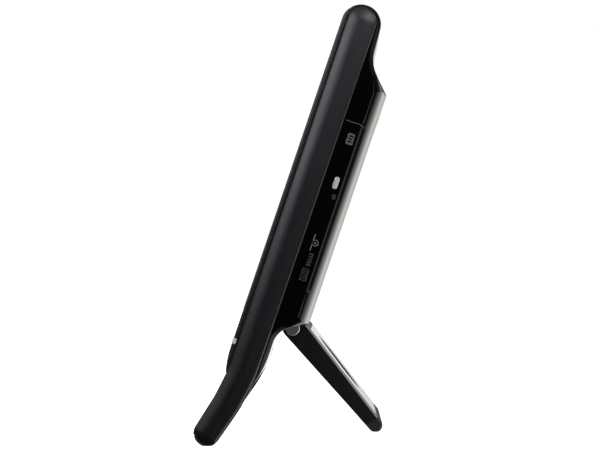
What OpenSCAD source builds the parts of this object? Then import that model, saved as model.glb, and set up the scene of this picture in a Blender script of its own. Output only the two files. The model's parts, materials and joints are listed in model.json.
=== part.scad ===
// A leaning digital picture frame with a slim disc drive in its side and a folding rear stand.
// Every piece is drawn upright in the case's own axes, x across the frame, y from the front
// to the rear and z up the case, and standing() then leans it back and sets it on the floor.

/* [Case] */
// Lean of the whole case back from upright, in degrees
lean = 18.75; // [18:0.25:19.5]
// Width of the case between its glossy side faces
case_w = 386; // [384:1:390]
// Depth of the case at its thin lower part
tail_d = 28.1; // [27.8:0.1:28.4]
// Depth of the case at its deep middle part
case_d = 48.1; // [47.5:0.1:48.5]
// Height of the case's rounded top above the leg's datum
case_top = 335.9; // [335:0.1:337]
// Height of the case's lower edge between the legs
case_low = 44; // [43:0.5:45]
// Thickness of the moulded case walls
wall = 2.2; // [2:0.1:2.4]
// Thickness of the front bezel
bezel_t = 3.3; // [3.2:0.1:3.4]
// Radius of the deep part's upright rear edges
side_edge_r = 10; // [8:1:11]

/* [Side arms] */
// How far a side arm stands proud of the case's side
arm_proud = 3; // [2:0.5:3.5]
// Thickness of a side arm and its leg
arm_t = 14; // [13:0.5:14]
// Depth at which a side arm's rear edge lies
arm_back = 24.9; // [24.5:0.1:25]
// Thickness of the rubber pad round a leg's end
pad_t = 1.5; // [1.2:0.1:2]

/* [Display] */
// Width of the picture area
view_w = 331.2; // [328:0.1:334]
// Height of the picture area
view_h = 207; // [205:0.5:208]
// Height of the picture area's lower edge
view_low = 104; // [103:0.5:105]
// Thickness of the clear cover pane
pane_t = 1.6; // [1.4:0.1:1.8]

/* [Disc drive] */
// Width of the tray door along the case
door_h = 128; // [127:0.5:129]
// Height of the tray door's lower end
door_low = 125.5; // [125:0.5:126]
// Depth at which the tray door begins
door_front = 25.9; // [25.6:0.1:26]
// Depth at which the tray door ends
door_back = 41.1; // [41:0.1:41.5]

/* [Stand] */
// Depth of the hinge axis in the case
hinge_y = 36.8; // [36.6:0.1:37]
// Height of the hinge axis in the case
hinge_z = 94.5; // [94.3:0.1:94.7]
// Angle from the case's depth axis down to the opened stand, in degrees
stand_drop = 33.6; // [33:0.1:34]
// Width of the stand
stand_w = 142; // [138:1:142]
// Radius of the stand's hinge barrel
barrel_r = 7.9; // [7.6:0.1:8]
// Radius of the hinge pin
pin_r = 3; // [2.6:0.1:3.2]
// Diameter of the round finger dish in the stand's back
dish_d = 54; // [50:1:56]

/* [Controls] */
// Radius of a key on the rear
key_r = 4; // [3.6:0.1:4.2]
// Distance from one key to the next
key_pitch = 16; // [14:1:17]
// Height of the row of keys
key_z = 264; // [263:0.5:265]

/* [Hidden] */
$fn = 48;
arc_step = 6;       // largest turn between two points of a drawn arc, in degrees
fine = 0.01;        // overshoot of a cut past a face
half_w = case_w / 2;
arm_out = half_w + arm_proud;
arm_in = arm_out - arm_t;
disc_r = 60;        // a standard disc
arm_gap = 0.4;      // seam between a side arm and the case
inner_w = arm_in - wall;
view_top = view_low + view_h;

// The case's side outline: [depth, height, corner radius], front top corner first
case_corners = [
    [0, case_top, 14.2], [0, 62.8, 68], [5.2, case_low, 8], [22.1, case_low, 8],
    [tail_d, 64.8, 80], [tail_d, 94.4, 16], [case_d, 106, 2.5], [case_d, 279.3, 3.5],
    [30.4, 297, 24], [27.6, case_top, 14.2]];
// The side arm's outline, with the leg that curves forward below the case
arm_corners = [
    [3.7, 333.5, 10.4], [3.7, 58, 60], [0.6, 36, 100], [-7.65, 1.86, 9.6],
    [10.7, -3.2, 9.6], [20.6, 31, 100], [arm_back, 57, 60], [arm_back, 333.5, 10.4]];
// The case seen from above: [across, depth, corner radius]
plan_corners = [
    [-half_w, -5, 0.2], [half_w, -5, 0.2], [half_w, case_d, side_edge_r],
    [-half_w, case_d, side_edge_r]];

function unit(a) = a / norm(a);
function across(a) = [-a.y, a.x];
function spot(c) = [c.x, c.y];
function turned(p, angle) =
    [p.x * cos(angle) - p.y * sin(angle), p.x * sin(angle) + p.y * cos(angle)];
function bend(a, b) = atan2(a.x * b.y - a.y * b.x, a * b);
function before(corners, i) = corners[(i + len(corners) - 1) % len(corners)];
function after(corners, i) = corners[(i + 1) % len(corners)];
function corner_arc(p, c, q) = let(
    a = unit(spot(c) - spot(p)), turn = bend(a, unit(spot(q) - spot(c))),
    start = spot(c) - a * c.z * tan(abs(turn) / 2),
    centre = start + sign(turn) * c.z * across(a),
    steps = max(1, ceil(abs(turn) / arc_step)))
    [for (k = [0:steps]) centre + turned(start - centre, turn * k / steps)];
// The points of an outline whose corners are rounded
function rounded(corners) = [for (i = [0:len(corners) - 1])
    each corner_arc(before(corners, i), corners[i], after(corners, i))];
function moved_corner(p, c, q, d) = let(
    a = unit(spot(c) - spot(p)), b = unit(spot(q) - spot(c)),
    at = spot(c) + d * (across(a) + across(b)) / (1 + a * b))
    [at.x, at.y, max(0.2, c.z - sign(bend(a, b)) * d)];
// The same outline moved inwards by d
function inset(corners, d) = [for (i = [0:len(corners) - 1])
    moved_corner(before(corners, i), corners[i], after(corners, i), d)];

case_outline = rounded(case_corners);
arm_outline = rounded(arm_corners);

// Where the floor is: under the legs, measured from the case's datum
function world_y(p) = p.x * cos(lean) + p.y * sin(lean);
function world_z(p) = p.y * cos(lean) - p.x * sin(lean);
foot_flat = 0.35;   // how much of each round foot is cut away to rest on the floor
floor_z = min([for (p = arm_outline) world_z(p)]) + foot_flat;

// The stand, in its own axes: s along its back from the hinge, h out of its back
stand_half = stand_w / 2;
tip_r = 5.55;
tip_h = 5;
stand_back_h = tip_h + tip_r;
stand_fall = stand_drop + lean;
hinge_up = world_z([hinge_y, hinge_z]) - floor_z;
tip_s = (hinge_up - tip_r + foot_flat + tip_h * cos(stand_fall)) / sin(stand_fall);
under_slope = atan2(tip_h, tip_s) + asin((barrel_r - tip_r) / norm([tip_s, tip_h]));
crest_s = 4.3;      // where the stand's flat back begins
crest_turn = atan2(stand_back_h, crest_s) + acos(barrel_r / norm([crest_s, stand_back_h]));
crest = [crest_s, stand_back_h];
under_point = barrel_r * [sin(under_slope), -cos(under_slope)];
under_way = [cos(under_slope), sin(under_slope)];
// Where two straight lines cross, each given by a point on it and its direction
function meet(p, a, q, b) = p + a * cross(q - p, b) / cross(a, b);
function with_radius(p, r) = [p.x, p.y, r];
// The stand's side outline: its barrel, its tip and the crest where its flat back begins
stand_corners = [
    with_radius(meet(under_point, under_way, crest, [-sin(crest_turn), cos(crest_turn)]), barrel_r),
    with_radius(meet(under_point, under_way, crest, [1, 0]), tip_r), with_radius(crest, 1)];
tip_y = world_y([hinge_y, hinge_z]) + tip_s * cos(stand_fall) + tip_h * sin(stand_fall) + tip_r;
front_y = min([for (p = arm_outline) world_y(p)]);
rear_y = max(tip_y, max([for (p = case_outline) world_y(p)]));
shift_y = -(front_y + rear_y) / 2;

// Inner layout, as depths from the front face
frame_y = [3.5, 9.5];       // display module
plate_y = [10.4, 11.4];     // chassis plate
board_y = [14, 15.6];       // main board and inverter board
hump_in = case_d - wall;    // inside of the deep rear wall
socket_y = [27.6, 29.2];    // socket board
drive_y = [27, 40.6];       // disc drive case
drive_in = 62;              // the drive's inner end, across
drive_z = [door_low + 0.4, door_low + door_h - 0.4];
disc_x = 126.5;             // centre of the disc, across
disc_z = door_low + door_h / 2;
rod_r = 1;                  // radius of the laser sled's guide rods
sled_rod_y = 32;
sled_rod_z = [disc_z - 9, disc_z + 9];
case_posts = [[-168, 265], [48, 266], [168, 265], [-120, 117], [120, 117], [51.2, 190]];
board_holes = [[-124, 146], [-124, 239], [-45, 146], [-45, 239], [34, 146], [34, 239]];
arm_screw_z = [76, 150, 230, 308];
arm_screw_y = 14;
key_names_x = [for (k = [0:4]) 80 + k * key_pitch];
lug_x = [stand_half + 0.5, stand_half + 4.5];
lug_r = 5.5;

// ---- placing and drawing helpers

module standing() {
    translate([0, shift_y, -floor_z]) rotate([-lean, 0, 0]) children();
}

// An outline of [depth, height] points, drawn out across the case
module along_x(x0, x1) {
    translate([x0, 0, 0]) rotate([90, 0, 90]) linear_extrude(x1 - x0) children();
}

module block(x, y, z) {
    translate([x[0], y[0], z[0]]) cube([x[1] - x[0], y[1] - y[0], z[1] - z[0]]);
}

module rod_x(y, z, x0, x1, r) {
    translate([x0, y, z]) rotate([0, 90, 0]) cylinder(h = x1 - x0, r = r);
}

module rod_y(x, z, y0, y1, r) {
    translate([x, y0, z]) rotate([-90, 0, 0]) cylinder(h = y1 - y0, r = r);
}

module both_sides() {
    children();
    mirror([1, 0, 0]) children();
}

// The case's outer form, made smaller all round by d
module case_form(d) {
    intersection() {
        along_x(-half_w + d, half_w - d) polygon(rounded(inset(case_corners, d)));
        linear_extrude(400) polygon(rounded(inset(plan_corners, d)));
    }
}

// The pocket in the case's side that a side arm sits in, seam included
module arm_room() {
    along_x(arm_in, arm_out + 1) polygon(rounded(inset(arm_corners, -arm_gap)));
}

// Cuts a foot flat where it rests on the floor
module rested() {
    difference() {
        children();
        translate([-300, -300, -20]) cube([600, 600, 20]);
    }
}

// Puts the stand's own axes at the hinge, at its opened angle
module at_stand() {
    translate([0, hinge_y, hinge_z]) rotate([-stand_drop, 0, 0]) children();
}

// ---- front

module front_bezel() color([0.05, 0.05, 0.055]) standing() {
    pane_lip = 3.4;
    difference() {
        intersection() {
            case_form(0);
            block([-half_w, half_w], [-1, bezel_t], [0, 400]);
        }
        block([-view_w / 2, view_w / 2], [-1, bezel_t + 1], [view_low, view_top]);
        block([-view_w / 2 - pane_lip, view_w / 2 + pane_lip], [1.2, bezel_t + 1],
            [view_low - pane_lip, view_top + pane_lip]);
        block([-half_w - 1, half_w + 1], [-1, 2.7], [74.9, 79.2]);
        block([-9, 9], [-1, bezel_t + 1], [84, 91]);
        rod_y(150, 87.5, -1, bezel_t + 1, 1.3);
        both_sides() arm_room();
    }
    // snap hooks that hold the bezel to the rear cover
    for (x = [-140, -50, 50, 140], z = [323, 66])
        block([x - 6, x + 6], [bezel_t, 8], [z, z + 2]);
}

module trim_strip() color([0.78, 0.78, 0.77]) standing()
    block([-half_w, half_w], [-0.3, 2.65], [74.95, 79.15]);

module display_pane() color([0.08, 0.09, 0.1, 0.6]) standing()
    block([-view_w / 2 - 3.2, view_w / 2 + 3.2], [1.3, 1.3 + pane_t],
        [view_low - 3.2, view_top + 3.2]);

module remote_window() color([0.16, 0.03, 0.05]) standing()
    block([-8.9, 8.9], [0.1, bezel_t - 0.1], [84.1, 90.9]);

module power_light() color([0.75, 0.85, 0.95]) standing() {
    rod_y(150, 87.5, 0.05, 5, 1.2);
    rod_y(150, 87.5, 5, 7, 2);
}

// ---- display module

module lcd_frame() color([0.7, 0.71, 0.72]) standing()
    difference() {
        block([-172, 172], frame_y, [96.5, 318.5]);
        block([-171.2, 171.2], [frame_y[0] + 0.4, frame_y[1] + 1], [97.3, 317.7]);
        block([-view_w / 2 - 1, view_w / 2 + 1], [frame_y[0] - 1, frame_y[0] + 1],
            [view_low - 1, view_top + 1]);
    }

module lcd_cell() color([0.12, 0.13, 0.15]) standing()
    block([-171, 171], [3.95, 5.9], [97.5, 317.5]);

module light_guide() color([0.9, 0.93, 0.95]) standing()
    block([-170, 170], [6, 8.8], [102.5, 317]);

module backlight_lamp() color([0.97, 0.97, 0.92]) standing() {
    rod_x(7.5, 100, -166, 166, 1.2);
    both_sides() rod_x(7.5, 100, 166, 170, 1.5);
}

module chassis_plate() color([0.62, 0.64, 0.65]) standing()
    difference() {
        union() {
            block([-176, 176], plate_y, [90, 322]);
            both_sides() block([174.8, 176], [plate_y[1] - 0.2, 19], [120, 300]);
            // rails that the disc drive stands on
            for (z = [133, 241])
                block([70, 168], [plate_y[1], drive_y[0]], [z, z + 1.2]);
            // shelf that the socket board stands on
            for (z = [140, 226])
                block([-168, -150], [plate_y[1], socket_y[0]], [z, z + 1.2]);
        }
        for (p = case_posts) rod_y(p[0], p[1], 9, 13, 1.55);
        for (p = board_holes) rod_y(p[0], p[1], 9, 13, 1.45);
        both_sides() for (z = [106, 122]) rod_y(lug_x[1] + 6, z, 9, 13, 1.45);
        block([-30, 30], [9, 13], [303, 312]);
    }

// ---- side arms and feet

// The part of the leg's end that the rubber pad takes the place of
module pad_zone() {
    intersection() {
        polygon(arm_outline);
        translate([-30, -30]) square([60, 34]);
        difference() {
            translate([-30, -30]) square([60, 60]);
            translate(pad_centre()) circle(r = 9.7 - pad_t, $fn = 96);
        }
    }
}
function pad_centre() = [4.4, 8.6];

module side_arm() {
    difference() {
        along_x(arm_in, arm_out) polygon(arm_outline);
        along_x(arm_in - 1, arm_out + 1) pad_zone();
        for (z = arm_screw_z) rod_x(arm_screw_y, z, arm_in - 1, arm_in + 9, 1.55);
    }
}

module right_side_arm() color([0.13, 0.13, 0.14]) standing() side_arm();

module left_side_arm() color([0.13, 0.13, 0.14]) standing() mirror([1, 0, 0]) side_arm();

module foot_pad() along_x(arm_in, arm_out) pad_zone();

module right_foot_pad() color([0.04, 0.04, 0.04]) rested() standing() foot_pad();

module left_foot_pad() color([0.04, 0.04, 0.04]) rested() standing() mirror([1, 0, 0]) foot_pad();

// ---- rear cover

// Space in the case's underside for the stand's barrel and the lugs beside it
module hinge_pocket(grow) {
    room = barrel_r + 0.7 + grow;
    rod_x(hinge_y, hinge_z, -stand_half - 0.7 - grow, stand_half + 0.7 + grow, room);
    both_sides() rod_x(hinge_y, hinge_z, stand_half, lug_x[1] + 0.6 + grow, lug_r + 0.6 + grow);
    at_stand() block([-stand_half - 0.7 - grow, stand_half + 0.7 + grow], [0, 7.2 + grow],
        [4, stand_back_h - 2 + grow]);
}

module drive_bay_hole() {
    zs = [door_low - 0.6, door_low + door_h + 0.6];
    corner = 3;
    block([arm_in - wall - 1, half_w + 5], [arm_back, door_back + 0.5 - corner], zs);
    block([arm_in - wall - 1, half_w + 5], [arm_back, door_back + 0.5],
        [zs[0] + corner, zs[1] - corner]);
    for (z = [zs[0] + corner, zs[1] - corner])
        rod_x(door_back + 0.5 - corner, z, arm_in - wall - 1, half_w + 5, corner);
}

module socket_holes() {
    x = [-half_w - 1, -half_w + wall + 1];
    block(x, [30.4, 33.2], [208.3, 233.7]);
    block(x, [30, 34.9], [184.8, 197.2]);
    rod_x(32.9, 170, x[0], x[1], 3);
    rod_x(32.9, 154, x[0], x[1], 3);
    rod_x(34.4, 137.5, x[0], x[1], 4);
}

module rear_cover() color([0.02, 0.02, 0.022]) standing()
    difference() {
        union() {
            difference() {
                intersection() {
                    case_form(0);
                    block([-half_w, half_w], [bezel_t, 100], [0, 400]);
                }
                difference() {
                    union() {
                        intersection() {
                            case_form(wall);
                            block([-inner_w, inner_w], [-1, 100], [0, 400]);
                        }
                        intersection() {
                            case_form(wall);
                            block([-200, 200], [arm_back + arm_gap + wall, 100], [95, 400]);
                        }
                    }
                    hinge_pocket(wall);
                }
                both_sides() arm_room();
            }
            for (p = case_posts) rod_y(p[0], p[1], plate_y[1], hump_in + 1, 4);
        }
        hinge_pocket(0);
        drive_bay_hole();
        socket_holes();
        // slots that the hinge lugs reach in through
        both_sides() block([lug_x[0] - 0.3, lug_x[1] + 0.3], [26, 41], [92, 112]);
        for (p = case_posts) {
            rod_y(p[0], p[1], 9, case_d + 1, 1.7);
            rod_y(p[0], p[1], 45.4, case_d + 1, 3);
        }
        for (k = [0:4]) rod_y(key_names_x[k], key_z, hump_in - 1, case_d + 1, key_r + 0.2);
        both_sides() for (z = arm_screw_z) rod_x(arm_screw_y, z, inner_w - 1, arm_in + 1, 1.7);
        // cooling slots behind the main board
        for (k = [0:9]) block([-108 + k * 13, -105 + k * 13], [hump_in - 1, case_d + 1], [178, 214]);
        // speaker slots in the thin lower part
        both_sides() for (k = [0:7])
            block([106 + k * 7, 109 + k * 7], [tail_d - 7, tail_d + 1], [62, 80]);
    }

// ---- boards

module main_board() color([0.08, 0.28, 0.14]) standing()
    difference() {
        block([-130, 40], board_y, [140, 245]);
        for (p = board_holes) rod_y(p[0], p[1], board_y[0] - 1, board_y[1] + 1, 1.6);
    }

// Chips, flat packages and edge sockets: [left, width, height of lower edge, length, thickness]
chip_places = [
    [-58, 27, 178, 27, 1.4], [-100, 10, 176, 20, 1], [-100, 10, 202, 20, 1],
    [-20, 12, 208, 18, 1], [0, 12, 208, 18, 1], [8, 14, 160, 14, 1.2],
    [-27, 54, 236, 5, 3], [-100, 30, 236, 5, 3], [-128, 5, 170, 30, 4], [-15, 30, 142, 5, 4]];

module board_chips() color([0.09, 0.09, 0.1]) standing()
    for (c = chip_places)
        block([c[0], c[0] + c[1]], [board_y[1], board_y[1] + c[4]], [c[2], c[2] + c[3]]);

module heat_sink() color([0.6, 0.62, 0.64]) standing() {
    base = board_y[1] + 1.4;
    block([-60, -29], [base, base + 1.6], [176, 207]);
    for (k = [0:7]) block([-60 + k * 4.25, -58.75 + k * 4.25], [base + 1.6, base + 9], [176, 207]);
}

module board_capacitors() color([0.14, 0.16, 0.3]) standing()
    for (x = [-112, -98, -20, -6], z = [157])
        rod_y(x, z, board_y[1], board_y[1] + 8, 4);

module board_standoffs() color([0.75, 0.66, 0.35]) standing()
    for (p = board_holes)
        difference() {
            rod_y(p[0], p[1], plate_y[1], board_y[0], 2.8);
            rod_y(p[0], p[1], plate_y[1] - 1, board_y[0] + 1, 1.45);
        }

module board_screws() color([0.72, 0.72, 0.7]) standing()
    for (p = board_holes) {
        rod_y(p[0], p[1], plate_y[0], board_y[1] + fine, 1.4);
        rod_y(p[0], p[1], board_y[1], board_y[1] + 1.4, 2.7);
    }

module inverter_board() color([0.1, 0.3, 0.16]) standing() {
    block([-160, -52], board_y, [262, 284]);
    for (x = [-152, -60]) rod_y(x, 273, plate_y[1], board_y[0], 2.5);
}

module inverter_transformer() color([0.75, 0.68, 0.3]) standing() {
    block([-142, -118], [board_y[1], board_y[1] + 6], [265, 281]);
    block([-84, -76], [board_y[1], board_y[1] + 5], [266, 280]);
}

module socket_board() color([0.08, 0.28, 0.14]) standing()
    block([-189, -146], socket_y, [130, 240]);

module card_reader() color([0.72, 0.73, 0.74]) standing()
    difference() {
        block([-189, -159], [socket_y[1], 34.2], [206.5, 235.5]);
        block([-190, -161], [30.6, 33], [208.6, 233.4]);
    }

module usb_socket() color([0.74, 0.75, 0.76]) standing() {
    difference() {
        block([-189, -176], [socket_y[1], 35.6], [184, 198]);
        block([-190, -177], [30.1, 34.8], [184.9, 197.1]);
    }
    block([-187, -176.5], [31.2, 32.6], [186.5, 195.5]);
}

module round_socket(z, y_mid, size, bore_r) {
    difference() {
        union() {
            block([-189, -175], [socket_y[1], y_mid + size / 2], [z - size / 2, z + size / 2]);
            rod_x(y_mid, z, -191.5, -188, size / 2 - 1.2);
        }
        rod_x(y_mid, z, -192, -176, bore_r);
    }
}

module headphone_socket() color([0.1, 0.1, 0.11]) standing() round_socket(170, 32.9, 7.4, 1.8);

module video_socket() color([0.75, 0.72, 0.2]) standing() round_socket(154, 32.9, 7.4, 1.8);

module power_inlet() color([0.08, 0.08, 0.09]) standing() {
    round_socket(137.5, 34.4, 10.2, 2.9);
    rod_x(34.4, 137.5, -188, -175.5, 0.85);
}

// ---- speakers

module speaker() {
    cone_x = 130;
    cone_z = 70;
    difference() {
        union() {
            block([98, 162], [17, 20], [57.5, 83]);
            rod_y(cone_x, cone_z, 9.5, 17.1, 10);
        }
        translate([cone_x, 21, cone_z]) rotate([90, 0, 0])
            rotate_extrude() polygon([[0, 0], [11.5, 0], [11.5, 1], [4.5, 3.5], [0, 3.5]]);
    }
    translate([cone_x, 17.5, cone_z]) sphere(r = 2.2);
}

module right_speaker() color([0.2, 0.2, 0.21]) standing() speaker();

module left_speaker() color([0.2, 0.2, 0.21]) standing() mirror([1, 0, 0]) speaker();

// ---- keys

module key_board() color([0.1, 0.3, 0.16]) standing()
    block([72, 152], [36.4, 38], [257, 271]);

module key_switches() color([0.15, 0.15, 0.16]) standing()
    for (x = key_names_x) {
        block([x - 3, x + 3], [38, 39.6], [key_z - 3, key_z + 3]);
        rod_y(x, key_z, 39.6, 40.2, 1.6);
    }

module key(number) {
    x = key_names_x[number];
    rod_y(x, key_z, 43, case_d - 0.1, key_r);
    rod_y(x, key_z, 44, hump_in - 0.3, key_r + 1.4);
    rod_y(x, key_z, 40.9, 43 + fine, 1.4);
}

module power_button() color([0.5, 0.5, 0.51]) standing() key(0);
module menu_button() color([0.3, 0.3, 0.31]) standing() key(1);
module previous_button() color([0.3, 0.3, 0.31]) standing() key(2);
module next_button() color([0.3, 0.3, 0.31]) standing() key(3);
module play_button() color([0.3, 0.3, 0.31]) standing() key(4);

// ---- disc drive

module drive_case() color([0.7, 0.71, 0.72]) standing()
    difference() {
        block([drive_in, 186], drive_y, drive_z);
        block([drive_in + 1, 187], [drive_y[0] + 0.8, drive_y[1] - 0.8],
            [drive_z[0] + 0.8, drive_z[1] - 0.8]);
        block([drive_in - 1, drive_in + 2], [30, 33], [156, 180]);
    }

module tray_rails() color([0.8, 0.8, 0.8]) standing()
    for (z = [drive_z[0] + 0.8, drive_z[1] - 1.8])
        block([drive_in + 1.2, 184], [30.5, 34.5], [z, z + 1]);

// The tray's deck, open at its middle for the hub and the laser sled
module disc_tray() color([0.12, 0.12, 0.13]) standing()
    difference() {
        union() {
            block([drive_in + 3, 187.5], [28.6, 38.2], [drive_z[0] + 2.2, drive_z[1] - 2.2]);
            block([187, 190.2], [28, 38.2], [door_low + 2, door_low + door_h - 2]);
        }
        rod_y(disc_x, disc_z, 36.2, 39, disc_r + 1);
        rod_y(disc_x, disc_z, 35.4, 39, 20);
        rod_y(disc_x, disc_z, 28, 39, 14.6);
        block([disc_x - 58, disc_x - 14], [28, 39], [disc_z - 12, disc_z + 12]);
        block([disc_x - 12, 187], [28, 33], [disc_z - 40, disc_z + 40]);
        for (z = sled_rod_z) rod_x(sled_rod_y, z, disc_x - 60, disc_x - 12, rod_r + 0.05);
        block([184, 191], [31.6, 36.1], [202.7, 212.7]);
    }

module spindle_hub() color([0.75, 0.76, 0.77]) standing() {
    rod_y(disc_x, disc_z, 30, 34, 13.6);
    rod_y(disc_x, disc_z, 34 - fine, 35.6, 13.6);
    rod_y(disc_x, disc_z, 35.6 - fine, 38.6, 7.4);
}

module laser_sled() color([0.25, 0.26, 0.28]) standing()
    difference() {
        union() {
            block([disc_x - 32, disc_x - 16.2], [29.8, 34.4], [disc_z - 11.4, disc_z + 11.4]);
            rod_y(disc_x - 23, disc_z, 34.3, 35.2, 4.2);
        }
        rod_y(disc_x - 23, disc_z, 34.6, 36, 2.4);
        for (z = sled_rod_z) rod_x(sled_rod_y, z, disc_x - 34, disc_x - 14, rod_r + 0.05);
    }

module sled_rods() color([0.82, 0.83, 0.84]) standing()
    for (z = sled_rod_z) rod_x(sled_rod_y, z, disc_x - 59.8, disc_x - 13.8, rod_r);

// The door's outline, with rounded corners on its rear edge
module door_outline() {
    polygon(rounded([
        [door_front, door_low, 0.5], [door_back, door_low, 2.6],
        [door_back, door_low + door_h, 2.6], [door_front, door_low + door_h, 0.5]]));
}

// The eject button's outline, a pill with round ends
module pill(grow) {
    r = 1.85 + grow;
    for (z = [204.95, 210.45]) translate([33.85, z]) circle(r = r);
    translate([33.85 - r, 204.95]) square([2 * r, 5.5]);
}

module tray_door() color([0.03, 0.03, 0.033]) standing()
    difference() {
        intersection() {
            along_x(190.2, half_w) door_outline();
            linear_extrude(400) polygon(rounded(plan_corners));
        }
        along_x(189, half_w + 1) pill(0.15);
        block([189, half_w + 1], [34, 37], [195.8, 199.6]);
        rod_x(30.5, 182, 189, half_w + 1, 0.7);
    }

module eject_button() color([0.85, 0.86, 0.86]) standing() {
    along_x(189.6, half_w + 0.1) pill(0);
    block([188, 189.6 + fine], [31.8, 35.9], [203, 212.4]);
}

module drive_light() color([0.25, 0.4, 0.3]) standing()
    block([190.3, half_w - 0.1], [34.1, 36.9], [195.9, 199.5]);

// ---- stand and hinge

// One lug: an eye round the pin, with a neck that runs up to a foot on the chassis plate
module lug() {
    difference() {
        union() {
            rod_x(hinge_y, hinge_z, lug_x[0], lug_x[1], lug_r);
            along_x(lug_x[0], lug_x[1]) polygon([
                [hinge_y + 3.9, hinge_z + 3.9], [28, 111.5], [plate_y[1], 128],
                [plate_y[1], 100], [20, 100], [hinge_y - 5, hinge_z + 2.2]]);
            block([lug_x[0], lug_x[1] + 12], [plate_y[1], plate_y[1] + 2], [100, 128]);
        }
        rod_x(hinge_y, hinge_z, lug_x[0] - 1, lug_x[1] + 1, pin_r + 0.03);
        for (z = [106, 122]) rod_y(lug_x[1] + 6, z, 9, 15, 1.5);
    }
}

module hinge_lugs() color([0.48, 0.49, 0.52]) standing() both_sides() lug();

module hinge_pin() color([0.72, 0.73, 0.75]) standing()
    rod_x(hinge_y, hinge_z, -lug_x[1] + 0.2, lug_x[1] - 0.2, pin_r);

module hinge_washers() color([0.8, 0.8, 0.82]) standing()
    both_sides() difference() {
        rod_x(hinge_y, hinge_z, stand_half + 0.05, lug_x[0] - 0.05, 4.6);
        rod_x(hinge_y, hinge_z, stand_half - 1, lug_x[0] + 1, pin_r + 0.05);
    }

module stand_outline() polygon(rounded(stand_corners));

plate_s = [9, 93];          // the back plate's ends, along the stand
plate_half = stand_half - 3;
plate_t = 2;
foot_s = 94.5;              // where the rubber foot begins

module stand_leg() color([0.1, 0.1, 0.105]) standing() at_stand()
    difference() {
        along_x(-stand_half, stand_half) stand_outline();
        rod_x(0, 0, -stand_half - 1, stand_half + 1, pin_r + 0.06);
        block([-plate_half, plate_half], plate_s, [stand_back_h - plate_t, stand_back_h + 1]);
        // the hollow behind the back plate, which follows the sloping underside
        along_x(-plate_half + 4, plate_half - 4)
            polygon([[14, 1.2], [88, 2.2], [88, stand_back_h - 1], [14, stand_back_h - 1]]);
        along_x(-stand_half - 1, stand_half + 1)
            translate([foot_s, -20]) square([60, 60]);
        block([-stand_half + 8, stand_half - 8], [foot_s - 4.2, foot_s + 1], [3, 7.2]);
    }

module stand_back_plate() color([0.05, 0.05, 0.055]) standing() at_stand() {
    depth = 4;
    dish_s = 45.4;
    sphere_r = (dish_d * dish_d / 4 + depth * depth) / (2 * depth);
    gap = 0.15;
    difference() {
        union() {
            block([-plate_half + gap, plate_half - gap], [plate_s[0] + gap, plate_s[1] - gap],
                [stand_back_h - plate_t, stand_back_h - 0.05]);
            translate([0, dish_s, stand_back_h - depth - 1])
                cylinder(h = depth, r = dish_d / 2 + 1.5);
        }
        translate([0, dish_s, stand_back_h + sphere_r - depth]) sphere(r = sphere_r, $fn = 200);
    }
}

module stand_foot() color([0.03, 0.03, 0.03]) rested() standing() at_stand() {
    along_x(-stand_half, stand_half) intersection() {
        stand_outline();
        translate([foot_s, -20]) square([60, 60]);
    }
    block([-stand_half + 8.2, stand_half - 8.2], [foot_s - 4, foot_s + fine], [3.2, 7]);
}

// ---- flat cables

module display_ribbon() color([0.85, 0.8, 0.6]) standing() {
    x = [-26, 26];
    block(x, [9.7, 10.1], [290, 308]);
    block(x, [9.7, 17.5], [308, 308.4]);
    block(x, [17.1, 17.5], [241, 308.4]);
}

module drive_ribbon() color([0.85, 0.85, 0.82]) standing() {
    z = [158, 178];
    block([36, 58], [20, 20.4], z);
    block([58, 58.4], [20, 31.4], z);
    block([58, drive_in + 2.5], [31, 31.4], z);
    block([35.6, 36], [board_y[1], 20.4], z);
}

// ---- fasteners

module case_screws() color([0.2, 0.2, 0.21]) standing()
    for (p = case_posts) {
        rod_y(p[0], p[1], plate_y[0] - 0.6, 45.4 + fine, 1.5);
        rod_y(p[0], p[1], 45.4, 47, 2.8);
    }

module side_arm_screws() color([0.7, 0.7, 0.72]) standing()
    both_sides() for (z = arm_screw_z) {
        rod_x(arm_screw_y, z, inner_w - fine, arm_in + 8, 1.5);
        rod_x(arm_screw_y, z, inner_w - 1.6, inner_w, 2.8);
    }

module hinge_screws() color([0.7, 0.7, 0.72]) standing()
    both_sides() for (z = [106, 122]) {
        rod_y(lug_x[1] + 6, z, plate_y[0] - 0.4, plate_y[1] + 2 + fine, 1.4);
        rod_y(lug_x[1] + 6, z, plate_y[1] + 2, plate_y[1] + 3.6, 2.7);
    }

front_bezel();
trim_strip();
display_pane();
remote_window();
power_light();
lcd_frame();
lcd_cell();
light_guide();
backlight_lamp();
chassis_plate();
left_side_arm();
right_side_arm();
left_foot_pad();
right_foot_pad();
rear_cover();
main_board();
board_chips();
heat_sink();
board_capacitors();
board_standoffs();
board_screws();
inverter_board();
inverter_transformer();
socket_board();
card_reader();
usb_socket();
headphone_socket();
video_socket();
power_inlet();
left_speaker();
right_speaker();
key_board();
key_switches();
power_button();
menu_button();
previous_button();
next_button();
play_button();
drive_case();
tray_rails();
disc_tray();
tray_door();
eject_button();
drive_light();
spindle_hub();
laser_sled();
sled_rods();
hinge_lugs();
hinge_pin();
hinge_washers();
stand_leg();
stand_back_plate();
stand_foot();
display_ribbon();
drive_ribbon();
case_screws();
side_arm_screws();
hinge_screws();
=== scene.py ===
"""A leaning digital photo frame: a slim disc drive in its side and a folding stand behind it."""
import json
from math import acos, asin, atan2, ceil, cos, degrees, hypot, pi, radians, sin, sqrt, tan

import bmesh
import bpy
from mathutils import Matrix, Vector


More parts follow.
